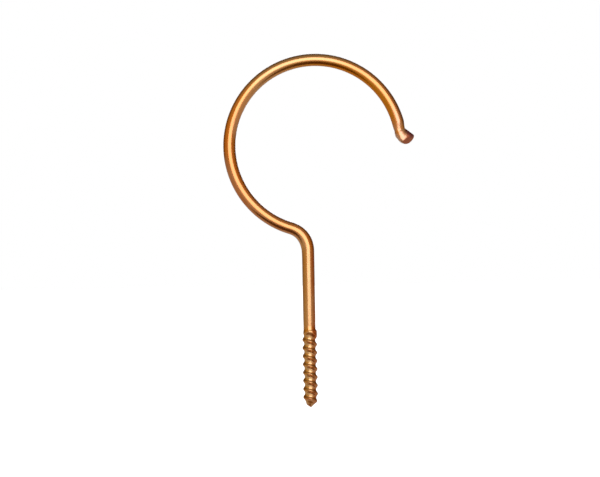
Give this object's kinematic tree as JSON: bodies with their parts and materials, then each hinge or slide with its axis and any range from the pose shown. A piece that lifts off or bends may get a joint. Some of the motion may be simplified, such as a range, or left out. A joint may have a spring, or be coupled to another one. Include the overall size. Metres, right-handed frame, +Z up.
{
  "type": "cup hook",
  "caption": "Open round hook bent from plated wire, with a turned-out lip and a wood-screw thread, for screwing into timber and hanging things from.",
  "frame": {"origin": "on the shank's axis where the thread begins, which is the face of the timber when the hook is screwed home", "axes": "+Z up the shank towards the ring, +X towards the ring's mouth, +Y square to the ring's plane and away from the viewer of the picture"},
  "size_m": [0.0625, 0.0048, 0.1156],
  "materials": {
    "plated_wire": "bright yellow plating on drawn steel wire, drifting between gold, orange and red-brown"
  },
  "bodies": {
    "root": {"hook": "plated_wire"}
  },
  "joints": []
}
